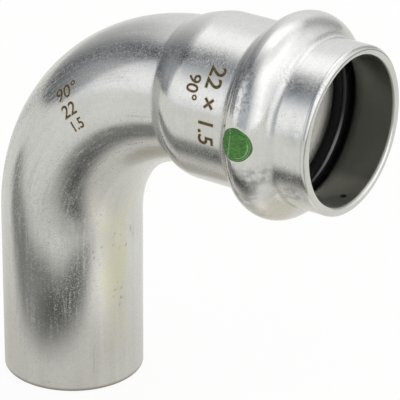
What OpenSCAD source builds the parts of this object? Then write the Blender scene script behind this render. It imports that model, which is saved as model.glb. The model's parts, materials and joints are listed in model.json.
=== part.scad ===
// Press fitting in stainless steel: a 90 degree bend with one plain end and one press socket.
//
// The plain end stands on the origin with its axis along +Z. The bend turns the tube towards +X,
// where the socket opens. Plain end, bend, flare, barrel, bead and guide are one formed tube.
// A sealing ring lies in the bead, and a painted dot marks a small flat pressed into the bead.
// All sizes are in millimetres.

/* [Tube] */
// Outside diameter of the tube, of the plain end and of the pipe that the socket takes
tube_od = 22; // [15:0.5:35]
// Wall of the tube, kept all through the socket
tube_wall = 1.5; // [1:0.1:2]
// Length of the straight plain end
spigot_len = 26.5; // [15:0.5:60]
// Rounding of the outer edge of the plain end
spigot_edge = 0.4; // [0.2:0.05:0.6]
// Bevel of the inner edge of the plain end
spigot_bevel = 0.2; // [0.1:0.05:0.3]
// Radius of the bend along the middle of the tube
bend_r = 26; // [22:0.5:60]
// Angle that the tube turns through
bend_angle = 90; // [30:5:90]

/* [Socket] */
// Clearance all round between the pipe and the bore of the socket
pipe_gap = 0.15; // [0.1:0.05:0.3]
// How far back into the bend the flare begins
flare_back = 3.9; // [2:0.1:5]
// Length of the flare
flare_len = 5.75; // [5.5:0.25:10]
// Length of the straight barrel between the flare and the bead
barrel_len = 8.5; // [2:0.5:20]
// Length of the straight guide between the bead and the mouth
guide_len = 5.4; // [2:0.1:15]
// Rounding of the lip of the mouth, outside
lip_r = 0.7; // [0.3:0.05:0.75]
// Rounding of the lip of the mouth, inside
lip_in_r = 0.35; // [0.1:0.05:0.4]

/* [Bead] */
// Height of the bead over the barrel
bead_rise = 2.9; // [2.5:0.1:4]
// Radius of the round crest of the bead, outside
crest_r = 3.8; // [3:0.1:5]
// Radius of the hollow on each side of the bead, outside
fillet_r = 1.4; // [0.5:0.1:3]

/* [Sealing ring] */
// Clearance all round between the pipe and the ring before pressing
seal_gap = 0.1; // [0.05:0.05:0.15]
// How far the ring is flattened where it presses on the bottom of its groove
seal_squeeze = 0.15; // [0.05:0.05:0.3]

/* [Marking dot] */
// Angle round the socket from the outside of the bend to the dot
dot_angle = 87; // [0:1:359]
// Diameter of the painted dot
dot_d = 5; // [3:0.1:6]
// Thickness of the paint
dot_skin = 0.12; // [0.05:0.01:0.3]
// Diameter of the flat pressed into the bead under the dot
flat_d = 4.2; // [2:0.1:5]
// Depth of that flat at the crest of the bead
flat_depth = 0.45; // [0.2:0.05:0.7]

/* [Hidden] */

$fa = 3;
$fs = 0.4;

// Steps in the round stretches of the socket's outline
crest_steps = 16;
fillet_steps = 8;
flare_steps = 10;
lip_steps = 6;
// Overlap with which a cut passes through a face
over = 1;
// How far under the tube's skin the flare starts, so that it rises out of the bend without a step
flare_sink = 0.1;

tube_r = tube_od / 2;
tube_in_r = tube_r - tube_wall;

// Socket: radii, and distances along its axis from the end of the bend
bore_r = tube_r + pipe_gap;
barrel_r = bore_r + tube_wall;
bead_r = barrel_r + bead_rise;
flare_start_r = sqrt(pow(bend_r + tube_r, 2) - pow(flare_back, 2)) - bend_r - flare_sink;
flare_end = flare_len - flare_back;

// Bead: centres of its crest and its side hollows, and the angle where they run into each other
crest_at_r = bead_r - crest_r;
fillet_at_r = barrel_r + fillet_r;
fillet_drop = fillet_at_r - crest_at_r;
bead_half = sqrt(pow(crest_r + fillet_r, 2) - pow(fillet_drop, 2));
bead_side = atan2(bead_half, fillet_drop);
bead_at = flare_end + barrel_len + bead_half;
guide_at = bead_at + bead_half;
mouth_at = guide_at + guide_len;

// Sealing ring: from just clear of the pipe to the bottom of the groove
groove_r = bead_r - tube_wall;
seal_in_r = tube_r + seal_gap;
seal_d = groove_r - seal_in_r + seal_squeeze;

// Points on an arc round c, in steps from angle a0 to angle a1; skip leaves out points at both ends
function arc(c, r, a0, a1, steps, skip = 0) =
    [for (i = [skip : steps - skip]) let (a = a0 + (a1 - a0) * i / steps) c + r * [cos(a), sin(a)]];

// Outline of the socket as [radius, distance along the axis], moved out from the steel's outer face by grow:
// 0 is the outer face, minus the wall is the inner face, and a little more than 0 is a skin of paint.

function flare_line(grow) =
    [for (i = [0 : flare_steps])
        let (t = i / flare_steps, rise = (1 - cos(180 * t)) / 2)
        [flare_start_r + (barrel_r - flare_start_r) * rise + grow, flare_len * t - flare_back]];

function bead_line(grow) = concat(
    arc([fillet_at_r, bead_at - bead_half], fillet_r - grow, 180, 180 - bead_side, fillet_steps),
    arc([crest_at_r, bead_at], crest_r + grow, -bead_side, bead_side, crest_steps, skip = 1),
    arc([fillet_at_r, bead_at + bead_half], fillet_r - grow, 180 + bead_side, 180, fillet_steps));

// Section of the solid socket, closed on its axis, with the lip rounded off
module socket_section(grow) {
    lip_c = [barrel_r + grow - lip_r, mouth_at - lip_r];
    polygon(concat(
        [[0, -flare_back]],
        flare_line(grow),
        bead_line(grow),
        arc(lip_c, lip_r, 0, 90, lip_steps),
        [[0, mouth_at]]));
}

// Section of the hollow inside the socket, open through the mouth, whose edge is rounded
module hollow_section() {
    lip_c = [bore_r + lip_in_r, mouth_at - lip_in_r];
    polygon(concat(
        [[0, -flare_back]],
        flare_line(-tube_wall),
        bead_line(-tube_wall),
        arc(lip_c, lip_in_r, 180, 90, lip_steps),
        [[bore_r + lip_in_r, mouth_at + over], [0, mouth_at + over]]));
}

// Puts children, drawn with the socket's axis along +Z from the end of the bend, in their place
module at_socket() {
    translate([bend_r, 0, spigot_len])
        rotate([0, bend_angle, 0])
            translate([-bend_r, 0, 0]) children();
}

// Puts children, drawn along +Z from the socket's axis, on the line through the dot
module at_dot() {
    at_socket()
        translate([0, 0, bead_at])
            rotate([0, 0, 180 + dot_angle])
                rotate([0, 90, 0]) children();
}

// Round bar of radius r along the bend
module bend_bar(r) {
    translate([bend_r, 0, spigot_len])
        rotate([90, 0, 0])
            rotate_extrude(angle = bend_angle, start = 180 - bend_angle)
                translate([bend_r, 0]) circle(r);
}

// Plain end as a solid bar with its outer edge rounded
module spigot_bar() {
    rotate_extrude() polygon(concat(
        [[0, 0]],
        arc([tube_r - spigot_edge, spigot_edge], spigot_edge, -90, 0, lip_steps),
        [[tube_r, spigot_len], [0, spigot_len]]));
}

// Hollow of the plain end with its inner edge bevelled
module spigot_hollow() {
    rotate_extrude() polygon([
        [0, -over],
        [tube_in_r + spigot_bevel + over, -over],
        [tube_in_r, spigot_bevel],
        [tube_in_r, spigot_len],
        [0, spigot_len]]);
}

// Punch that presses the flat, with its face and its side moved by grow
module flat_punch(grow) {
    at_dot() translate([0, 0, bead_r - flat_depth + grow])
        cylinder(d = flat_d - 2 * grow, h = flat_depth + over);
}

// Solid socket with the flat pressed into its bead, moved out from the steel's outer face by grow
module socket_bar(grow) {
    difference() {
        at_socket() rotate_extrude() socket_section(grow);
        flat_punch(grow);
    }
}

// Bent steel tube with its plain end, flare, barrel, bead and guide
module elbow_body() {
    color([0.74, 0.73, 0.70]) difference() {
        union() {
            spigot_bar();
            bend_bar(tube_r);
            socket_bar(0);
        }
        spigot_hollow();
        bend_bar(tube_in_r);
        at_socket() rotate_extrude() hollow_section();
    }
}

// Rubber ring in the bead, pressed flat along the bottom of its groove
module sealing_ring() {
    color([0.06, 0.06, 0.06]) at_socket() rotate_extrude() intersection() {
        translate([seal_in_r + seal_d / 2, bead_at]) circle(d = seal_d);
        hollow_section();
    }
}

// Spot of green enamel that covers the flat
module marking_dot() {
    color([0.20, 0.46, 0.18]) intersection() {
        difference() {
            socket_bar(dot_skin);
            socket_bar(0);
        }
        at_dot() cylinder(d = dot_d, h = bead_r + over);
    }
}

elbow_body();
sealing_ring();
marking_dot();
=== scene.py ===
import json
import math

import bmesh
import bpy
from mathutils import Matrix, Vector


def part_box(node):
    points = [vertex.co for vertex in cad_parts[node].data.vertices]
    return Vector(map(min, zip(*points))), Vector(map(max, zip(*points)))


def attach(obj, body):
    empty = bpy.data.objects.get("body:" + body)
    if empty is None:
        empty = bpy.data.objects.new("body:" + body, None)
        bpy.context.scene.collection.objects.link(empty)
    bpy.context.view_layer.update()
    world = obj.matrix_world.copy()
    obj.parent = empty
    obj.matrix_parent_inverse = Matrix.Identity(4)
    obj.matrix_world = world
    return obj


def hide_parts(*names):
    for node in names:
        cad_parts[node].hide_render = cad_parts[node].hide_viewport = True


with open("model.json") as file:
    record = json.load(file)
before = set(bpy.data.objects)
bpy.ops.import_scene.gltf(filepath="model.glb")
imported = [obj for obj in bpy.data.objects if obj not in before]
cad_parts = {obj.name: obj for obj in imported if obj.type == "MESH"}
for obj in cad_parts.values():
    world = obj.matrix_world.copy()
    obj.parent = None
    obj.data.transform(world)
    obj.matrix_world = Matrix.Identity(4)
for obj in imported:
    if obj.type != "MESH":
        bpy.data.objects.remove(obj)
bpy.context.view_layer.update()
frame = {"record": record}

# Elbow body: one length of stainless-steel tube, bent through a right angle. One end stays plain, the other
# is expanded to a socket with a flare, a barrel, a bead for the sealing ring and a guide with a rounded lip.
# It is pickled after forming, which leaves a satin grey skin with fine grain, specks and light scratches.

MM = 0.001
DEGREE = math.radians(1)
mounts = {mount["name"]: mount for mount in frame["record"]["mounts"]}
elbow_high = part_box("elbow_body")[1]

# Driving sizes in millimetres; those that the frame holds come from it.
tube_r = mounts["spigot"]["dims"]["r_mm"]
bore_r = mounts["socket"]["dims"]["r_mm"]
socket_axis_z = mounts["socket"]["pos_m"][2] / MM
bead_r = elbow_high.z / MM - socket_axis_z
tube_wall = 1.5
bend_r = 26.0
bend_angle = math.pi / 2
plain_edge = 0.4
plain_bevel = 0.2
crease_back = 2.4
shoulder_len = 5.0
crease_blend = 0.12
crease_run = 1.2
crest_r = 3.8
fillet_r = 1.4
guide_len = 5.4
lip_r = 0.7
lip_in_r = 0.65

# The lip's inner rounding is bright up to this turn of it, and has the bore's dark skin and painted shade
# from a hair on.
lip_turn = math.pi * 0.75
lip_hair = 0.1

# Sizes that follow. Distances along the tube are measured on its axis from the plain end, as before bending.
plain_len = socket_axis_z - bend_r
bend_end = plain_len + bend_r * bend_angle
mouth_at = bend_end + elbow_high.x / MM - bend_r
barrel_r = bore_r + tube_wall
crease_at = bend_end - crease_back
fillet_drop = barrel_r + fillet_r - bead_r + crest_r
bead_half = math.sqrt((crest_r + fillet_r) ** 2 - fillet_drop ** 2)
bead_side = math.atan2(bead_half, fillet_drop)
bead_at = mouth_at - guide_len - bead_half

# Small flat pressed into the crest of the bead, which the paint dot covers.
flat_angle = math.radians(87)
flat_r = 2.1
flat_depth = 0.45
flat_soft = 0.12

# Steps in the outline's round stretches, in its straight ones outside and inside, and round the tube.
edge_steps = 8
flare_steps = 40
crest_steps = 36
fillet_steps = 12
lip_steps = 12
lip_in_steps = 8
lip_bore_steps = 6
bend_steps = 64
short_steps = 6
bend_bore_steps = 40
short_bore_steps = 4
tube_steps_round = 240


def arc(centre, radius, start, stop, steps):
    """Points on an arc, as (radius of the tube, distance along it)."""
    turns = [start + (stop - start) * i / steps for i in range(steps + 1)]
    return [(centre[0] + radius * math.cos(t), centre[1] + radius * math.sin(t)) for t in turns]


def straight(start, stop, steps, pair=0.01):
    """Points on a straight stretch, with a close pair at each end that keeps its shading flat."""
    shares = [0, pair] + [i / steps for i in range(1, steps)] + [1 - pair, 1]
    return [tuple(a + (b - a) * share for a, b in zip(start, stop)) for share in shares]


def flare(grow):
    """The flare leaves the tube at a crisp crease and rounds over in a long shoulder to the barrel."""
    widening = barrel_r - tube_r

    def eased(rise):
        return (rise + math.sqrt(rise ** 2 + crease_blend ** 2)) / 2

    first = eased(-widening * ((1 + crease_run / shoulder_len) ** 2 - 1))
    points = []
    for i in range(flare_steps + 1):
        share = i / flare_steps
        along = -crease_run + (crease_run + shoulder_len) * share
        rise = eased(widening - widening * (1 - along / shoulder_len) ** 2) - first * (1 - share)
        points.append((tube_r + min(rise, widening) + grow, crease_at + along))
    return points


def bead(grow):
    """The bead is a round crest between two hollows; grow moves the line out from the steel's outer face."""
    hollow_at_r = barrel_r + fillet_r
    hollow_r = fillet_r - grow
    return (arc((hollow_at_r, bead_at - bead_half), hollow_r, math.pi, math.pi - bead_side, fillet_steps)
            + arc((bead_r - crest_r, bead_at), crest_r + grow, -bead_side, bead_side, crest_steps)[1:-1]
            + arc((hollow_at_r, bead_at + bead_half), hollow_r, math.pi + bead_side, math.pi, fillet_steps))


def without_doubles(points, apart=1e-4):
    """Leaves out each point that falls on the one before it."""
    kept = points[:1]
    for point in points[1:]:
        if math.dist(point, kept[-1]) > apart:
            kept.append(point)
    return kept


def lip_inside(start, stop, steps):
    """A stretch of the rounding between the lip's end and the bore."""
    return arc((bore_r + lip_in_r, mouth_at - lip_in_r), lip_in_r, start, stop, steps)


def outer_line():
    """Outline of the steel's outer face from the plain end over the lip."""
    edge = arc((tube_r - plain_edge, plain_edge), plain_edge, -math.pi / 2, 0, edge_steps)
    lip = (arc((barrel_r - lip_r, mouth_at - lip_r), lip_r, 0, math.pi / 2, lip_steps)
           + lip_inside(math.pi / 2, lip_turn, lip_in_steps))
    bend_start = (tube_r, plain_len)
    flared = flare(0)
    crests = bead(0)
    return without_doubles(
        edge + straight(edge[-1], bend_start, short_steps)
        + straight(bend_start, flared[0], bend_steps)
        + flared + straight(flared[-1], crests[0], short_steps)
        + crests + straight(crests[-1], lip[0], short_steps) + lip)


def inner_line():
    """Outline of the steel's inner face from behind the lip back to the plain end."""
    hollow_r = tube_r - tube_wall
    bend_start = (hollow_r, plain_len)
    flared = flare(-tube_wall)[::-1]
    crests = bead(-tube_wall)[::-1]
    return without_doubles(
        lip_inside(lip_turn + lip_hair, math.pi, lip_bore_steps)
        + straight((bore_r, mouth_at - lip_in_r), crests[0], short_bore_steps) + crests
        + straight(crests[-1], flared[0], short_bore_steps) + flared
        + straight(flared[-1], bend_start, bend_bore_steps)
        + straight(bend_start, (hollow_r, plain_bevel), short_bore_steps)
        + [(hollow_r + plain_bevel, 0)])


class Wire:
    """One output of a node. Python's own signs on it add the Math nodes that work out the sum."""

    def __init__(self, board, socket):
        self.board = board
        self.socket = socket

    def of(self, name):
        return Wire(self.board, self.socket.node.outputs[name])

    def math(self, operation, *values):
        return self.board.node("ShaderNodeMath", {"operation": operation}, values)

    def __add__(self, other):
        return self.math("ADD", self, other)

    def __sub__(self, other):
        return self.math("SUBTRACT", self, other)

    def __rsub__(self, other):
        return self.math("SUBTRACT", other, self)

    def __mul__(self, other):
        return self.math("MULTIPLY", self, other)

    def __truediv__(self, other):
        return self.math("DIVIDE", self, other)

    def __pow__(self, other):
        return self.math("POWER", self, other)

    def __neg__(self):
        return self.math("MULTIPLY", self, -1)

    def __abs__(self):
        return self.math("ABSOLUTE", self)

    __radd__ = __add__
    __rmul__ = __mul__

    def sin(self):
        return self.math("SINE", self)

    def cos(self):
        return self.math("COSINE", self)

    def floor(self):
        return self.math("FLOOR", self)

    def at_least(self, other):
        return self.math("MAXIMUM", self, other)

    def at_most(self, other):
        return self.math("MINIMUM", self, other)

    def step(self, low, high):
        """0 below low, 1 above high, and a smooth rise between them."""
        return self.board.node("ShaderNodeMapRange", {"interpolation_type": "SMOOTHSTEP"},
                               {"Value": self, "From Min": low, "From Max": high})

    def xyz(self):
        parts = self.board.node("ShaderNodeSeparateXYZ", {}, [self])
        return parts.of("X"), parts.of("Y"), parts.of("Z")


class Board:
    """A node tree, with the one method that puts a node on it."""

    def __init__(self, tree):
        self.tree = tree

    def node(self, kind, settings=None, inputs=(), output=0):
        made = self.tree.nodes.new(kind)
        for name, value in (settings or {}).items():
            setattr(made, name, value)
        for key, value in (inputs.items() if isinstance(inputs, dict) else enumerate(inputs)):
            if isinstance(value, Wire):
                self.tree.links.new(value.socket, made.inputs[key])
            else:
                made.inputs[key].default_value = value
        return Wire(self, made.outputs[output]) if made.outputs else made


def turning_tree():
    """Geometry Nodes that turn a section round the tube's axis, press the flat and bend the result."""
    join_within = 1e-6
    tree = bpy.data.node_groups.new("turn_press_and_bend", "GeometryNodeTree")
    for name, kind in (("Section", "Geometry"), ("Steps Round", "Int"), ("Plain Length", "Float"),
                       ("Bend Radius", "Float"), ("Bend Angle", "Float"), ("Flat Angle", "Float"),
                       ("Flat Along", "Float"), ("Flat Radius", "Float"), ("Flat Height", "Float"),
                       ("Flat Softness", "Float"), ("Finish", "Material")):
        tree.interface.new_socket(name, in_out="INPUT", socket_type=f"NodeSocket{kind}")
    tree.interface.new_socket("Piece", in_out="OUTPUT", socket_type="NodeSocketGeometry")
    board = Board(tree)
    entry = board.node("NodeGroupInput")
    section, steps = entry.of("Section"), entry.of("Steps Round")

    # A grid has a row of points for each step round; each point takes its place from the section.
    points = board.node("GeometryNodeAttributeDomainSize", {"component": "MESH"}, {"Geometry": section})
    points = points.of("Point Count")
    sheet = board.node("GeometryNodeMeshGrid", {}, {"Vertices X": steps + 1, "Vertices Y": points})
    index = board.node("GeometryNodeInputIndex")
    turn = (index / points).floor()
    sampled = board.node("GeometryNodeSampleIndex", {"data_type": "FLOAT_VECTOR", "domain": "POINT"},
                         {"Geometry": section, "Value": board.node("GeometryNodeInputPosition"),
                          "Index": index - turn * points})
    radius, along, inside = sampled.xyz()
    angle = turn / steps * math.tau
    out, side = radius * angle.cos(), radius * angle.sin()

    # The punch presses what stands over the flat's height down to it.
    flat_cos, flat_sin = entry.of("Flat Angle").cos(), entry.of("Flat Angle").sin()
    height = out * flat_cos + side * flat_sin
    across = side * flat_cos - out * flat_sin
    reach = (across ** 2 + (along - entry.of("Flat Along")) ** 2) ** 0.5
    soft, flat_reach = entry.of("Flat Softness"), entry.of("Flat Radius")
    struck = 1 - reach.step(flat_reach - soft, flat_reach + soft)
    drop = (height - entry.of("Flat Height")).at_least(0) * struck
    out, side = out - drop * flat_cos, side - drop * flat_sin

    # Bending turns what lies past the plain end round the bend's axis.
    radius_of_bend, plain = entry.of("Bend Radius"), entry.of("Plain Length")
    turned = ((along - plain) / radius_of_bend).at_least(0).at_most(entry.of("Bend Angle"))
    rest = along - plain - turned * radius_of_bend
    spread = radius_of_bend + out
    place = board.node("ShaderNodeCombineXYZ", {}, [
        radius_of_bend - spread * turned.cos() + rest * turned.sin(),
        -side,
        plain + spread * turned.sin() + rest * turned.cos()])

    piece = board.node("GeometryNodeSetPosition", {}, {"Geometry": sheet, "Position": place})
    unbent = board.node("ShaderNodeCombineXYZ", {}, [out, side, along])
    piece = board.node("GeometryNodeStoreNamedAttribute", {"data_type": "FLOAT_VECTOR", "domain": "POINT"},
                       {"Geometry": piece, "Name": "unbent", "Value": unbent})
    piece = board.node("GeometryNodeStoreNamedAttribute", {"data_type": "FLOAT", "domain": "POINT"},
                       {"Geometry": piece, "Name": "inside", "Value": inside})
    piece = board.node("GeometryNodeMergeByDistance", {}, {"Geometry": piece, "Distance": join_within})
    piece = board.node("GeometryNodeSetShadeSmooth", {}, {"Geometry": piece})
    piece = board.node("GeometryNodeRealizeInstances", {}, {"Geometry": piece})
    piece = board.node("GeometryNodeSetMaterial", {}, {"Geometry": piece, "Material": entry.of("Finish")})
    board.node("NodeGroupOutput", {}, [piece])
    return tree


turning = turning_tree()


def turned_piece(name, lines, finish, steps_round):
    """A closed piece turned from outlines in millimetres, each with its flag for the inner face."""
    points = [(r * MM, s * MM, flag) for line, flag in lines for r, s in line]
    section = bpy.data.meshes.new(name + "_section")
    section.from_pydata(points + points[:1], [], [])
    piece = bpy.data.objects.new(name, section)
    bpy.context.scene.collection.objects.link(piece)
    modifier = piece.modifiers.new("turning", "NODES")
    modifier.node_group = turning
    sizes = {"Steps Round": steps_round, "Plain Length": plain_len * MM, "Bend Radius": bend_r * MM,
             "Bend Angle": bend_angle, "Flat Angle": flat_angle, "Flat Along": bead_at * MM,
             "Flat Radius": flat_r * MM, "Flat Height": (bead_r - flat_depth) * MM,
             "Flat Softness": flat_soft * MM, "Finish": finish}
    for item in turning.interface.items_tree:
        if item.in_out == "INPUT" and item.name in sizes:
            modifier[item.identifier] = sizes[item.name]
    evaluated = piece.evaluated_get(bpy.context.evaluated_depsgraph_get())
    mesh = bpy.data.meshes.new_from_object(evaluated)
    piece.modifiers.clear()
    piece.data = mesh
    return piece


def new_material(name):
    material = bpy.data.materials.new(name)
    material.use_nodes = True
    material.node_tree.nodes.clear()
    return material, Board(material.node_tree)


def stretched(board, place, scale):
    return board.node("ShaderNodeVectorMath", {"operation": "MULTIPLY"}, [place, scale])


def coordinates(board, scale=(1, 1, 1), turn=(0, 0, 0)):
    """Object coordinates, turned and then stretched."""
    place = board.node("ShaderNodeTexCoord", output="Object")
    turned = board.node("ShaderNodeMapping", {}, {"Vector": place, "Rotation": turn})
    return stretched(board, turned, scale)


def attribute(board, name, output):
    return board.node("ShaderNodeAttribute", {"attribute_name": name}, output=output)


def noise(board, place, scale, detail=2.0, roughness=0.5):
    return board.node("ShaderNodeTexNoise", {}, {
        "Vector": place, "Scale": scale, "Detail": detail, "Roughness": roughness})


def drawn_noise(board, place, scale, detail):
    """Noise drawn out by a scale of its own in each direction."""
    return noise(board, stretched(board, place, scale), scale=1, detail=detail)


def cells(board, place, scale):
    """Distance to the nearest of many scattered points."""
    return board.node("ShaderNodeTexVoronoi", {}, {"Vector": place, "Scale": scale})


def mixed(board, share, first, second):
    """Colour between two colours."""
    share_in, first_in, second_in, colour_out = 0, 6, 7, 2
    mixer = board.node("ShaderNodeMix", {"data_type": "RGBA"}, {share_in: share}, output=colour_out)
    for key, value in ((first_in, first), (second_in, second)):
        socket = mixer.socket.node.inputs[key]
        if isinstance(value, Wire):
            board.tree.links.new(value.socket, socket)
        else:
            socket.default_value = (*value, 1)
    return mixer


def weighed(start, parts):
    """A start value and each part times its weight, added up."""
    for part, weight in parts:
        start = start + part * weight
    return start


def distance(across, upward):
    return (across ** 2 + upward ** 2) ** 0.5


def within(value, middle, half, soft, unit=MM):
    """1 within half of the middle, fading to 0 over soft on both sides of that edge."""
    apart = abs(value - middle * unit)
    return 1 - apart.step((half - soft) * unit, (half + soft) * unit)


def near(board, unbent, radius, degrees, along, reach):
    """1 at a place of the straight tube, fading to 0 at reach from it."""
    angle = degrees * DEGREE
    middle = (radius * math.cos(angle) * MM, radius * math.sin(angle) * MM, along * MM)
    apart = board.node("ShaderNodeVectorMath", {"operation": "DISTANCE"}, [unbent, middle], output="Value")
    return 1 - apart.step(0, reach * MM)


def patches(board, unbent, places):
    """Soft round patches added up: each is its radius, degrees round, distance along, reach and strength."""
    return sum(near(board, unbent, *place) * strength for *place, strength in places)


def front_half(unbent):
    """1 on the side of the tube that carries the paint dot."""
    side = unbent.xyz()[1]
    return side.step(0, 1 * MM)


def line_along(unbent, degrees, half, soft):
    """A thin straight line along the front of the tube."""
    out, side, _ = unbent.xyz()
    angle = degrees * DEGREE
    offset = out * math.sin(angle) - side * math.cos(angle)
    return within(offset, 0, half, soft) * front_half(unbent)


def scratches(board, turn, long, fine, low=0.64, high=0.70):
    """Short straight scratches: noise drawn out along one direction, of which only the peaks are kept."""
    return noise(board, coordinates(board, (long, fine, fine), turn), scale=1, detail=1).step(low, high)


def scratches_all_over(board):
    """Light scratches in four directions."""
    return sum(scratches(board, turn, long, fine) for turn, long, fine in (
        ((0.3, 0.9, 0.2), 900, 5200),
        ((1.2, 0.3, 0.8), 1100, 5600),
        ((2.1, 1.4, 0.5), 800, 4800),
        ((0.8, 2.2, 1.9), 1200, 5900))).at_most(1)


def pitting(board, place, unbent):
    """Single pits all over, and short slanting ones in three clusters on the plain end; also the clusters."""
    single = (1 - cells(board, place, 900).step(0.06, 0.15)) * noise(board, place, 260, 1).step(0.64, 0.72)
    slanting = coordinates(board, scale=(1, 1, 0.45), turn=(0.55, 0, 0))
    short = 1 - cells(board, slanting, 1600).step(0.14, 0.40)
    clusters = patches(board, unbent, (
        (tube_r, 174, 25.6, 4.2, 1),
        (tube_r, 163, 15.6, 3.6, 1),
        (tube_r, 149, 23.2, 2.6, 1))).step(0.1, 0.6)
    varied = noise(board, place, 800, 1).step(0.32, 0.62)
    return single.at_least(short * clusters * varied), clusters


def shoulder_rub(unbent):
    """Rubbed band along the upper front of the tube and the socket, left off on the bead."""
    out, side, along = unbent.xyz()
    band = within(out / distance(out, side), 0.745, half=0.07, soft=0.06, unit=1)
    return band * front_half(unbent) * (1 - within(along, bead_at - 1.5, half=4.8, soft=0.8))


def marks_and_painted_shade(board, place, unbent, rubbed):
    """Dark marks from tools and handling, and painted shade by the bead's hollow towards the mouth."""
    # Patches at bead_at + 2.4 to + 4.5, on the bead's flank and in its hollow towards the mouth, are painted
    # shade.
    marks_and_shade = patches(board, unbent, (
        (barrel_r, 44, bend_end + 1.9, 2.2, 0.8),
        (barrel_r, 42, bend_end + 5.5, 1.9, 0.8),
        (barrel_r, 43, bend_end + 8.0, 1.4, 0.6),
        (barrel_r, 44, mouth_at - 4.2, 3.2, 1),
        (barrel_r, 144, mouth_at - 4.0, 3.0, 0.7),
        (tube_r, 41, crease_at - 5, 2.2, 1),
        (bead_r - 0.6, 106, bead_at + 1.2, 3.0, 1),
        (barrel_r + 0.4, 107, bead_at + 3.3, 2.8, 0.85),
        (barrel_r + 1.4, 106, bead_at + 2.4, 2.2, 0.7),
        (barrel_r, 122, mouth_at - 2.8, 3.2, 1),
        (barrel_r, 74, mouth_at - 2.0, 3.0, 0.5),
        (barrel_r + 0.8, 64, bead_at + 3.0, 2.2, 0.7),
        (barrel_r, 127, bead_at + 4.5, 3.2, 0.6),
        (bead_r, 122, bead_at + 0.3, 3.3, 1),
        (bead_r, 138, bead_at + 0.6, 3.6, 0.6))).at_most(1)
    marks_and_shade = marks_and_shade * noise(board, place, 900, 2).step(0.36, 0.6)
    rubbed_through = rubbed * noise(board, place, 2700, 1).step(0.44, 0.6) * 0.75
    flecked = patches(board, unbent, (
        (bead_r, 48, bead_at - 0.95, 2.2, 1),
        (bead_r, 55, bead_at - 0.6, 2.2, 1),
        (bead_r, 64, bead_at + 0.1, 2.4, 1))).at_most(1).step(0, 0.6)
    flecks = flecked * noise(board, place, 2200, 1).step(0.46, 0.6) * 0.8
    return marks_and_shade.at_least(rubbed_through).at_least(flecks)


def hazy_patches(board, unbent):
    """Places where the skin is a little more matt."""
    return patches(board, unbent, (
        (barrel_r, 112, bend_end + 6, 7, 1),
        (barrel_r, 112, mouth_at - 3, 5, 1),
        (tube_r, 133, 29, 6, 1.5),
        (barrel_r, 51, bend_end + 4, 3.5, 1),
        (barrel_r, 48, bend_end + 8, 3.5, 1.4)))


def painted_floor_reflection(board, unbent):
    """Painted reflection of the warm floor on the underside, below the bead and below the guide."""
    under_bead = near(board, unbent, bead_r - 1, 144, bead_at + 2.2, 6.5).step(0, 0.7) * 0.8
    under_guide = near(board, unbent, barrel_r, 147, mouth_at - 3.6, 4.5).step(0, 0.8)
    return under_bead.at_least(under_guide)


def lip_dark_reflections(board, place, unbent, inside):
    """Painted dark reflection lines: one round the lip, climbing towards the top, and one on the guide."""
    out, side, along = unbent.xyz()
    radius = distance(out, side)
    turn = along.math("ARCTAN2", along - (mouth_at - lip_r) * MM, radius - (barrel_r - lip_r) * MM)
    climb = (out / radius).at_least(0) * (48 * DEGREE)
    on_lip = within(turn - climb, 34, half=8, soft=5, unit=DEGREE)
    on_guide = within(along, mouth_at - 0.85, half=0.07, soft=0.06) * 0.6 * side.step(0, 4 * MM)
    broken = noise(board, place, 160, 2).step(0.3, 0.5)
    return (on_lip + on_guide) * out.step(-7 * MM, -1 * MM) * (1 - inside) * broken


def bead_ridges(board, unbent):
    """Ridges round the bead's flank towards the barrel, and one crisp line among them; as relief."""
    along = unbent.xyz()[2]
    ridges = within(along, bead_at - 2.0, half=1.5, soft=0.9) * drawn_noise(board, unbent, (70, 70, 1900), 1)
    place = near(board, unbent, bead_r - 0.7, 70, bead_at - 2.1, 4.5).step(0, 0.4)
    line = within(along, bead_at - 2.1, half=0.07, soft=0.07) * place
    return ridges * 20 + line * 8


def dried_stain(place, clouds):
    """A faint stain that runs down one side of the plain end."""
    x, y, z = place.xyz()
    stain_side = 74 * DEGREE
    facing = (x * math.sin(stain_side) - y * math.cos(stain_side)) / (tube_r * MM)
    height = z.step(3 * MM, 12 * MM) * (1 - z.step(24 * MM, 36 * MM))
    return facing.step(0.955, 1.0) * height * clouds.step(0.2, 0.6)


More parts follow.
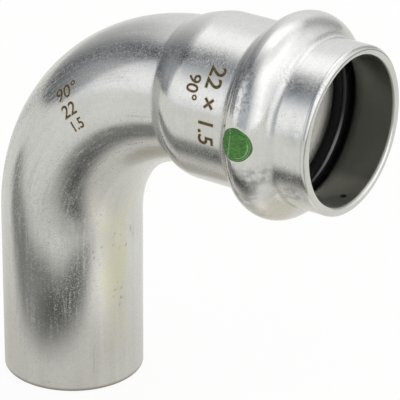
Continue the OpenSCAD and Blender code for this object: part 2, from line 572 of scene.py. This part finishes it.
def pickled_steel():
    # Besides the steel's own colours, these hold a painted floor reflection, painted shade inside and painted
    # light.
    steel_light = (0.77, 0.768, 0.762)
    steel_dull = (0.59, 0.588, 0.582)
    inside_skin_and_shade = (0.34, 0.345, 0.31)
    inside_skin_and_shade_low = (0.50, 0.50, 0.46)
    lit_bore_pale = (0.96, 0.95, 0.88)
    stain_colour = (0.70, 0.678, 0.55)
    floor_reflection_beige = (0.60, 0.572, 0.465)
    speck_colour = (0.17, 0.16, 0.13)
    mark_and_shade_colour = (0.25, 0.255, 0.26)
    foot_brown = (0.22, 0.205, 0.155)
    blemish_colour = (0.05, 0.05, 0.045)
    satin = 0.125
    relief = 0.04 * MM
    relief_strength = 0.14
    material, board = new_material("pickled_steel")
    place = coordinates(board)
    unbent = attribute(board, "unbent", "Vector")
    inside = attribute(board, "inside", "Fac")
    out, side, along = unbent.xyz()

    # Drawing leaves lines along the tube, and forming leaves rings round the socket and the end of the bend.
    socket = along.step((crease_at - 5) * MM, crease_at * MM)
    drawn = drawn_noise(board, unbent, (2600, 2600, 160), 3)
    formed = drawn_noise(board, unbent, (40, 40, 5200), 3)
    lines = drawn * (1 - socket) + formed * socket
    bands = (drawn_noise(board, unbent, (420, 420, 9), 2) - 0.5) * (1 - socket)
    streaks = drawn.step(0.5, 0.7) * (1 - socket) * out.step(-9.8 * MM, -7.5 * MM)

    # Pickling leaves a cloudy skin of fine grain, which handling scratches and rubs.
    clouds = noise(board, place, 120, 3)
    grain = noise(board, place, 3400, 1, 0.4)
    dapple = noise(board, place, 1300, 1, 0.4)
    strokes = scratches_all_over(board)
    frost = (strokes * 0.5 + grain.step(0.5, 0.72) * 0.5).at_most(1)
    pits, clusters = pitting(board, place, unbent)
    rubbed = shoulder_rub(unbent)
    marks_and_shade = marks_and_painted_shade(board, place, unbent, rubbed)

    # Lines from the tools: a seam near the sawn edge and a fold before the flare.
    seam = line_along(unbent, 144, half=0.05, soft=0.06) * within(along, 5, half=2.2, soft=1.5)
    fold = line_along(unbent, 94.5, half=0.06, soft=0.09) * within(along, crease_at - 2.3, half=1.9, soft=0.8)
    # Painted shade on the upper front of the bead's hollow towards the mouth; both hollows are also more
    # matt.
    hollow_shade = within(out / distance(out, side), 0.54, half=0.17, soft=0.1, unit=1) * front_half(unbent)
    hollow_shade = hollow_shade * within(along, bead_at + 3.3, half=0.5, soft=0.5)
    hollow_off = bead_half - 0.6
    hollows = (within(along, bead_at - hollow_off, half=0.7, soft=0.4)
               + within(along, bead_at + hollow_off, half=0.7, soft=0.4))
    # Just past the crease the steel is more matt and darkened by painted shade.
    crease_shade_and_haze = within(along, crease_at + 0.7, half=1.0, soft=0.4) * (1 - out.step(3 * MM, 7 * MM))
    lip_reflection_line = lip_dark_reflections(board, place, unbent, inside)
    lip_shine = along.step((mouth_at - 0.6) * MM, (mouth_at - 0.3) * MM) * (1 - inside)
    # The plain end is dark brown along its lowest 0.2 to 0.8 mm.
    browned = 1 - place.xyz()[2].step(0.2 * MM, 0.8 * MM)

    # Inside, the guide has a duller skin darkened by painted shade, a little lighter low down, with one
    # blemish.
    lower = (-out).step(9.4 * MM, 10.4 * MM)
    blemish = near(board, unbent, bore_r, 186, mouth_at - 2.2, 0.8).step(0.15, 0.5)
    # Behind the ring the barrel is pale and matt, fading to dull steel towards the bend; the pale is painted
    # light.
    behind_ring = inside * (1 - along.step((bead_at - 1.7) * MM, (bead_at - 0.7) * MM))
    deep = behind_ring * along.step((bend_end + 3) * MM, (bend_end + 10) * MM)

    bright = weighed(0.5, (
        (crease_shade_and_haze, -0.5),
        (clouds - 0.5, 0.6),
        (lines - 0.5, 0.5),
        (bands, 1.2),
        (grain - 0.5, 0.45),
        (dapple - 0.5, 0.4)))
    colour = mixed(board, bright.at_least(0).at_most(1), steel_dull, steel_light)
    for share, laid_over in (
            (dried_stain(place, clouds), stain_colour),
            (painted_floor_reflection(board, unbent) * 0.75, floor_reflection_beige),
            ((pits * (0.5 + clusters * 0.1)).at_least(seam * 0.3).at_least(fold * 0.25), speck_colour),
            ((marks_and_shade * 0.6).at_least(lip_reflection_line * 0.8).at_least(hollow_shade * 0.42), mark_and_shade_colour),
            (browned * 0.8, foot_brown),
            (inside, mixed(board, lower, inside_skin_and_shade, inside_skin_and_shade_low)),
            (inside * blemish, blemish_colour),
            (behind_ring, mixed(board, deep, steel_dull, lit_bore_pale))):
        colour = mixed(board, share, colour, laid_over)
    roughness = weighed(satin, (
        (socket, -0.025),
        (clouds - 0.5, 0.06),
        (lines - 0.5, 0.1),
        (bands, 0.2),
        (streaks, 0.13),
        (frost, 0.24 + rubbed * 0.2),
        (hollows, 0.14),
        (inside, 0.25),
        (lip_shine, -0.07),
        (crease_shade_and_haze, 0.3),
        (hazy_patches(board, unbent), 0.12)))
    height = weighed(bead_ridges(board, unbent), (
        (grain, 0.3 + rubbed * 0.8),
        (dapple, 0.2),
        (lines, 0.4 + socket * 0.6),
        (bands, 3.0),
        (strokes, 0.25 + rubbed),
        (pits, -1.5)))
    bump = board.node("ShaderNodeBump", {}, {
        "Strength": relief_strength, "Distance": relief, "Height": height})
    steel = board.node("ShaderNodeBsdfPrincipled", {}, {
        "Base Color": colour, "Metallic": 1 - deep, "Roughness": roughness, "Normal": bump})
    board.node("ShaderNodeOutputMaterial", {}, {"Surface": steel})
    return material


elbow = turned_piece("elbow", [(outer_line(), 0), (inner_line(), 1)], pickled_steel(), tube_steps_round)
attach(elbow, "root")
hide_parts("elbow_body")

# Sealing ring: a black EPDM O-ring, moulded smooth and lightly greased. It lies in the bead, pressed flat
# along the bottom of the groove by its own tension, and stands a hair proud of the bore.

seal_gap = 0.1
seal_squeeze = 0.15
groove_r = bead_r - tube_wall
seal_in_r = tube_r + seal_gap
seal_r = (groove_r - seal_in_r + seal_squeeze) / 2
seal_square = 3.2
seal_shoulder = math.radians(128)
seal_steps = 96
seal_steps_round = 160


def seal_line():
    """Section of the ring: a circle squared off to four soft shoulders and cut by the bead's hollow crest."""
    largest = seal_r * 2 ** (1 / seal_square - 0.5)
    points = []
    for i in range(seal_steps):
        turn = math.tau * i / seal_steps
        aside = turn - seal_shoulder + math.pi / 4
        squared = abs(math.cos(aside)) ** seal_square + abs(math.sin(aside)) ** seal_square
        reach = largest / squared ** (1 / seal_square)
        along = reach * math.sin(turn)
        groove = bead_r - crest_r + math.sqrt((crest_r - tube_wall) ** 2 - along ** 2)
        points.append((min(seal_in_r + seal_r + reach * math.cos(turn), groove), bead_at + along))
    return points


def greased_rubber():
    rubber = (0.012, 0.012, 0.013)
    rubber_dusty = (0.017, 0.017, 0.018)
    shoulder_r = seal_in_r + seal_r + seal_r * math.cos(seal_shoulder)
    shoulder_at = bead_at + seal_r * math.sin(seal_shoulder)
    relief = 0.03 * MM
    relief_strength = 0.04
    material, board = new_material("greased_rubber")
    place = coordinates(board)
    film = noise(board, place, 420, 3)
    dust = noise(board, place, 2600, 2)
    colour = mixed(board, dust.step(0.5, 0.75), rubber, rubber_dusty)
    bump = board.node("ShaderNodeBump", {}, {
        "Strength": relief_strength, "Distance": relief, "Height": dust})

    # The grease has run together along the shoulder that faces the mouth, most of it low in the ring.
    out, side, along = attribute(board, "unbent", "Vector").xyz()
    off_shoulder = distance(distance(out, side) - shoulder_r * MM, along - shoulder_at * MM)
    low = within(out, -7.6, half=2.5, soft=2.5)
    grease = 1 - off_shoulder.step(0.1 * MM, (low * 0.45 + 0.3) * MM)
    grease = grease * (0.08 + low * 0.92)
    skin = board.node("ShaderNodeBsdfPrincipled", {}, {
        "Base Color": colour, "Roughness": 0.1 + film * 0.1, "Normal": bump, "Specular IOR Level": 0.25,
        "Coat Weight": grease, "Coat Roughness": 0.08, "Coat IOR": 1.8})
    board.node("ShaderNodeOutputMaterial", {}, {"Surface": skin})
    return material


seal = turned_piece("seal", [(seal_line(), 0)], greased_rubber(), seal_steps_round)
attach(seal, "root")
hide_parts("sealing_ring")

# Paint dot: a spot of green enamel dabbed over the flat on the bead. It is thickest in the middle, thins to a
# rounded edge, and shows the rim of the flat through the film.

dot_r = 2.5
dot_skin = 0.12
dot_edge_power = 8
dot_rings = 40
dot_spokes = 96

# Waves of the dot's outline: depth as a share of its radius, number round the dot, and start.
dot_waves = ((0.012, 3, 0.7), (0.008, 7, 0))


def on_tube(radius, angle, along):
    """Place in the frame of a point of the straight tube once it is bent; angle 0 is the bend's outside."""
    turned = min(max((along - plain_len) / bend_r, 0), bend_angle)
    rest = along - plain_len - turned * bend_r
    spread = bend_r + radius * math.cos(angle)
    return Vector((bend_r - spread * math.cos(turned) + rest * math.sin(turned),
                   -radius * math.sin(angle),
                   plain_len + spread * math.sin(turned) + rest * math.cos(turned))) * MM


def dot_height(along, across):
    """Height of the steel under the paint, from the socket's axis, on the line through the dot."""
    crest = bead_r - crest_r + math.sqrt(crest_r ** 2 - along ** 2)
    height = math.sqrt(crest ** 2 - across ** 2)
    share = (math.hypot(along, across) - flat_r + flat_soft) / (2 * flat_soft)
    share = min(max(share, 0), 1)
    struck = 1 - share * share * (3 - 2 * share)
    return height - max(height - bead_r + flat_depth, 0) * struck


def dot_point(along, across, film):
    """Place on the paint or, with no film, on the steel under it."""
    height = dot_height(along, across) + film
    radius = math.hypot(height, across)
    return on_tube(radius, flat_angle + math.atan2(across, height), bead_at + along)


def dot_cap(mesh, spot, film):
    """Rings of points from the middle of the dot to its rim, each point with its place on the dot."""
    loops = []
    for ring in range(dot_rings + 1):
        share = ring / dot_rings
        thickness = film * math.sqrt(max(1 - share ** dot_edge_power, 0))
        loop = []
        for k in range(dot_spokes if ring else 1):
            turn = math.tau * k / dot_spokes
            wave = 1 + sum(depth * math.sin(count * turn + start) for depth, count, start in dot_waves)
            along, across = (dot_r * share * wave * f(turn) for f in (math.cos, math.sin))
            point = mesh.verts.new(dot_point(along, across, thickness))
            point[spot] = (along / dot_r, across / dot_r, 0)
            loop.append(point)
        loops.append(loop)
    return loops


def dot_mesh():
    """Paint and the steel's face under it, as two caps that meet at the rim."""
    mesh = bmesh.new()
    spot = mesh.verts.layers.float_vector.new("spot")
    for loops in [dot_cap(mesh, spot, film) for film in (dot_skin, 0)]:
        for k in range(dot_spokes):
            after = (k + 1) % dot_spokes
            mesh.faces.new((loops[0][0], loops[1][k], loops[1][after]))
            for inner, outer in zip(loops[1:], loops[2:]):
                mesh.faces.new((inner[k], outer[k], outer[after], inner[after]))
    bmesh.ops.remove_doubles(mesh, verts=mesh.verts, dist=1e-7)
    bmesh.ops.recalc_face_normals(mesh, faces=mesh.faces)
    data = bpy.data.meshes.new("paint_dot")
    mesh.to_mesh(data)
    mesh.free()
    data.shade_smooth()
    return data


def green_enamel():
    green = (0.056, 0.215, 0.024)
    green_dark = (0.020, 0.12, 0.010)
    green_worn_and_lit = (0.30, 0.45, 0.25)
    relief = 0.04 * MM
    relief_strength = 0.4
    material, board = new_material("green_enamel")
    along, across, _ = attribute(board, "spot", "Vector").xyz()
    reach = distance(along, across)
    brushed = noise(board, coordinates(board, (900, 2600, 2600), (0.2, 0.1, 0.4)), scale=1, detail=3)
    flecks = noise(board, coordinates(board), 5200, 2)

    # The brush leaves the film thin over the rim of the flat, and in a few lines across it.
    # The light arcs over the flat's rim on the lower right are also painted highlight.
    lower_right = (along * 0.8 + across * 0.6).step(0.35, 0.6)
    rim = within(reach, 0.80, half=0.025, soft=0.03, unit=1)
    rim = (rim + within(reach, 0.91, half=0.015, soft=0.02, unit=1) * 0.6) * lower_right
    line = within(along + across * 0.06, -0.42, half=0.03, soft=0.035, unit=1) * flecks.step(0.3, 0.55)
    worn_and_lit = (rim + line + flecks.step(0.58, 0.72) * 0.55).at_most(1)
    thick = reach.step(0.86, 1.0).at_least((-along).step(0.3, 0.75) * 0.7)
    colour = mixed(board, brushed.step(0.3, 0.7), green_dark, green)
    colour = mixed(board, thick * 0.8, colour, green_dark)
    colour = mixed(board, worn_and_lit * 0.75, colour, green_worn_and_lit)
    bump = board.node("ShaderNodeBump", {}, {
        "Strength": relief_strength, "Distance": relief, "Height": brushed + flecks * 0.6})
    enamel = board.node("ShaderNodeBsdfPrincipled", {}, {
        "Base Color": colour, "Roughness": 0.3 + brushed * 0.2, "Normal": bump})
    board.node("ShaderNodeOutputMaterial", {}, {"Surface": enamel})
    return material


dot = bpy.data.objects.new("paint_dot", dot_mesh())
dot.data.materials.append(green_enamel())
bpy.context.scene.collection.objects.link(dot)
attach(dot, "root")
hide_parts("marking_dot")

# Size marks: plain numbers burnt into the steel by laser, which leaves brown strokes with a straw-coloured
# heat tint round them. They give the tube's diameter, its wall and the angle of the bend.

mark_foot = -0.03
mark_curve_steps = 5
mark_longest_edge = 0.35
mark_splits = 4
barrel_marks_angle = math.radians(70)
barrel_marks_at = bend_end + 6.6
bend_marks_angle = math.radians(74)
bend_marks_at = plain_len + bend_r * math.radians(51)

# Layers of a mark: swell of the strokes as a share of the figures' size, height over the steel, and ink.
heat_tint = (0.042, 0.010, 0)
burnt_stroke = (0.0125, 0.018, 1)


def number_shell(name, text, size, swell, top):
    """One row of numbers as a closed shell on a flat, with edges short enough to follow the steel."""
    letters = bpy.data.curves.new(name, "FONT")
    letters.body = text
    letters.size = size
    letters.offset = swell * size
    letters.align_x = "CENTER"
    letters.align_y = "CENTER"
    letters.extrude = (top - mark_foot) / 2
    letters.resolution_u = mark_curve_steps
    holder = bpy.data.objects.new(name, letters)
    bpy.context.scene.collection.objects.link(holder)
    shell = bmesh.new()
    shell.from_mesh(holder.evaluated_get(bpy.context.evaluated_depsgraph_get()).to_mesh())
    bpy.data.objects.remove(holder)
    bmesh.ops.remove_doubles(shell, verts=shell.verts, dist=1e-4)
    for _ in range(mark_splits):
        bmesh.ops.triangulate(shell, faces=shell.faces)
        long = [edge for edge in shell.edges if edge.calc_length() > mark_longest_edge]
        bmesh.ops.subdivide_edges(shell, edges=long, cuts=1)
    bmesh.ops.triangulate(shell, faces=shell.faces)
    bmesh.ops.recalc_face_normals(shell, faces=shell.faces)
    return shell


def burnt_numbers(name, rows, to_steel):
    """Numbers as thin closed shells laid on the steel; each row is its text, its size and its place."""
    points, faces, ink = [], [], []
    for text, size, right_by, up_by in rows:
        for swell, top, inked in (heat_tint, burnt_stroke):
            shell = number_shell(name, text, size, swell, top)
            first = len(points)
            middle = (top + mark_foot) / 2
            points += [to_steel(v.co.x + right_by, v.co.y + up_by, v.co.z + middle) for v in shell.verts]
            faces += [[first + v.index for v in face.verts] for face in shell.faces]
            ink += [inked] * len(shell.verts)
            shell.free()
    mesh = bpy.data.meshes.new(name)
    mesh.from_pydata(points, [], faces)
    mesh.attributes.new("ink", "FLOAT", "POINT").data.foreach_set("value", ink)
    piece = bpy.data.objects.new(name, mesh)
    bpy.context.scene.collection.objects.link(piece)
    return piece


def on_barrel(right, up, rise):
    """Reads down round the barrel from near its top, with the figures' heads towards the mouth."""
    return on_tube(barrel_r + rise, barrel_marks_angle + right / barrel_r, barrel_marks_at + up)


def on_bend(right, up, rise):
    """Reads along the side of the bend towards the socket, with the figures' heads towards its outside."""
    return on_tube(tube_r + rise, bend_marks_angle - up / tube_r, bend_marks_at + right)


def laser_burn():
    burn = (0.06, 0.043, 0.024)
    burn_light = (0.15, 0.11, 0.06)
    straw = (0.66, 0.60, 0.47)
    material, board = new_material("laser_burn")
    patchy = noise(board, coordinates(board), 2400, 3)
    inked = attribute(board, "ink", "Fac")
    colour = mixed(board, inked, straw, mixed(board, patchy.step(0.4, 0.65), burn, burn_light))
    browned = board.node("ShaderNodeBsdfPrincipled", {}, {
        "Base Color": colour, "Metallic": 1 - inked * 0.7, "Roughness": 0.3 + inked * 0.25})
    board.node("ShaderNodeOutputMaterial", {}, {"Surface": browned})
    return material


laser_finish = laser_burn()
for name, rows, to_steel in (
        ("barrel_marks", (("22 × 1.5", 3.6, 0.5, 1.3), ("90°", 2.8, -1.6, -1.9)), on_barrel),
        ("bend_marks", (("90°", 2.8, 0.4, 2.3), ("22", 2.8, 0.0, -0.5), ("1.5", 2.3, 0.2, -3.0)), on_bend)):
    marks = burnt_numbers(name, rows, to_steel)
    marks.data.materials.append(laser_finish)
    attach(marks, "root")

# Floor and room: a plain pale floor in a soft studio, with a broad key light on the right, light from above
# and behind, and a white board in front whose dark frame draws the steel's form. A grey flag lies on the
# floor in front of the part, where only the steel sees it.

floor_half = 3.0
floor_drop = 0.0002


def pale_floor():
    floor_white = (0.84, 0.84, 0.79)
    glow_white = (1.12, 1.10, 1.03)
    shade_grey = (0.67, 0.655, 0.605)
    flag_grey = (0.27, 0.27, 0.252)
    flag_dark = (0.12, 0.12, 0.11)
    paper_white = (1, 1, 1)
    kept_shadow = 0.07
    material, board = new_material("pale_floor")
    path = board.node("ShaderNodeLightPath")
    camera_sees = path.of("Is Camera Ray")
    steel_sees = path.of("Is Glossy Ray").at_least(path.of("Is Transmission Ray"))
    x, y, _ = board.node("ShaderNodeTexCoord", output="Object").xyz()
    # What the steel sees: a painted shadow of the part round its foot, and a painted pool of light under the
    # socket.
    shade = within(x, 5, half=51, soft=30) * within(y, -10.5, half=22, soft=30)
    glow = within(distance(x - 47 * MM, y + 10 * MM), 0, half=9, soft=18)
    flag_front = (x + 3 * MM).at_least(0) * 0.28 - 58.5 * MM
    flag = (y - flag_front).step(-8 * MM, 8 * MM) * (1 - y.step(-32 * MM, -17 * MM))
    flag = flag * within(x, -50, half=119, soft=38)
    core = within(x, 18, half=22, soft=11) * within(y, -39, half=7, soft=6)
    shown = floor_white
    for share, laid_over in ((shade, shade_grey), (glow, glow_white), (flag, flag_grey), (core, flag_dark),
                             (camera_sees, paper_white)):
        shown = mixed(board, share, shown, laid_over)
    matte = board.node("ShaderNodeBsdfDiffuse", {}, {"Color": (*floor_white, 1)})
    plain = board.node("ShaderNodeEmission", {}, {"Color": shown})
    share = camera_sees * (1 - kept_shadow) + steel_sees
    surface = board.node("ShaderNodeMixShader", {}, [share, matte, plain])
    board.node("ShaderNodeOutputMaterial", {}, {"Surface": surface})
    return material


corners = ((-1, -1), (1, -1), (1, 1), (-1, 1))
floor_data = bpy.data.meshes.new("floor")
floor_points = [(x * floor_half, y * floor_half, -floor_drop) for x, y in corners]
floor_data.from_pydata(floor_points, [], [(0, 1, 2, 3)])
floor = bpy.data.objects.new("floor", floor_data)
floor_data.materials.append(pale_floor())
bpy.context.scene.collection.objects.link(floor)

# Each light or flag: what it adds to the room, the middle, half width and softness of its azimuth, and the
# elevation where it starts and ends, with the softness of those edges. Azimuth 0 is -Y and 90 is +X, in
# degrees. The board's dark frame is an oval ring round its middle.
room_light = 0.583
least_light = 0.05
lights = {
    "key": (0.853, 65, 74.5, 40, -200, 56.6, 16),
    "overhead": (0.568, 0, 400, 1, 50.6, 200, 14),
    "back_left": (0.417, -130, 56, 27.5, -5, 200, 49),
    "white_board": (0.526, -43, 16.3, 3.8, -200, 45, 19.5),
    "back_right_flag": (-0.235, 171, 14.7, 12.5, -200, 45, 4),
}
frame_dark = -0.70
frame_middle = (-42.4, 15.9)
frame_reach = (54.3, 37.2)
frame_half = 0.42
frame_soft = 0.5
neutral = (1, 1, 1)
frame_tint = (0.95, 1, 1.05)


def studio_world():
    world = bpy.data.worlds.new("studio")
    bpy.context.scene.world = world
    world.use_nodes = True
    world.node_tree.nodes.clear()
    board = Board(world.node_tree)
    x, y, z = board.node("ShaderNodeTexCoord", output="Generated").xyz()
    azimuth = x.math("ARCTAN2", x, -y)
    elevation = z.math("ARCSINE", z)

    def turned_from(middle):
        return azimuth.math("WRAP", azimuth - middle * DEGREE, math.pi, -math.pi)

    across = turned_from(frame_middle[0]) / (frame_reach[0] * DEGREE)
    upward = (elevation - frame_middle[1] * DEGREE) / (frame_reach[1] * DEGREE)
    oval = distance(across, upward)
    light = room_light + within(oval, 1, frame_half, frame_soft, unit=1) * frame_dark
    for strength, middle, half, soft, low, high, rise in lights.values():
        shape = within(turned_from(middle), 0, half, soft, unit=DEGREE)
        shape = shape * elevation.step((low - rise) * DEGREE, (low + rise) * DEGREE)
        shape = shape * (1 - elevation.step((high - rise) * DEGREE, (high + rise) * DEGREE))
        light = light + shape * strength
    tint = mixed(board, within(oval, 0.8, half=0.3, soft=0.25, unit=1), neutral, frame_tint)
    studio = board.node("ShaderNodeBackground", {}, {"Color": tint, "Strength": light.at_least(least_light)})
    white = board.node("ShaderNodeBackground", {}, {"Color": (*neutral, 1), "Strength": 1.0})
    seen = board.node("ShaderNodeLightPath", output="Is Camera Ray")
    surface = board.node("ShaderNodeMixShader", {}, [seen, studio, white])
    board.node("ShaderNodeOutputWorld", {}, {"Surface": surface})


studio_world()

# Camera: a long lens at the photograph's viewing angle, a little above the socket and turned towards its
# mouth. The focal length is in pixels of the square picture.

image_px = 400
focal_px = 2934.8
camera_azimuth = math.radians(35.173)
camera_elevation = math.radians(24.924)
camera_roll = math.radians(0.346)
camera_distance = 0.440
camera_target = Vector((0.024297, 0, 0.034506))

back = Vector((math.sin(camera_azimuth) * math.cos(camera_elevation),
               -math.cos(camera_azimuth) * math.cos(camera_elevation),
               math.sin(camera_elevation)))
level = Vector((math.cos(camera_azimuth), math.sin(camera_azimuth), 0))
upright = back.cross(level)
right = level * math.cos(camera_roll) + upright * math.sin(camera_roll)
up = upright * math.cos(camera_roll) - level * math.sin(camera_roll)
camera_data = bpy.data.cameras.new("camera")
camera_data.sensor_width = 36
camera_data.lens = focal_px / image_px * camera_data.sensor_width
camera_data.clip_start = 0.01
camera = bpy.data.objects.new("camera", camera_data)
camera_turn = Matrix((right, up, back)).transposed().to_4x4()
camera.matrix_world = Matrix.Translation(camera_target + back * camera_distance) @ camera_turn
bpy.context.scene.collection.objects.link(camera)
bpy.context.scene.camera = camera
bpy.context.scene.view_settings.view_transform = "Standard"
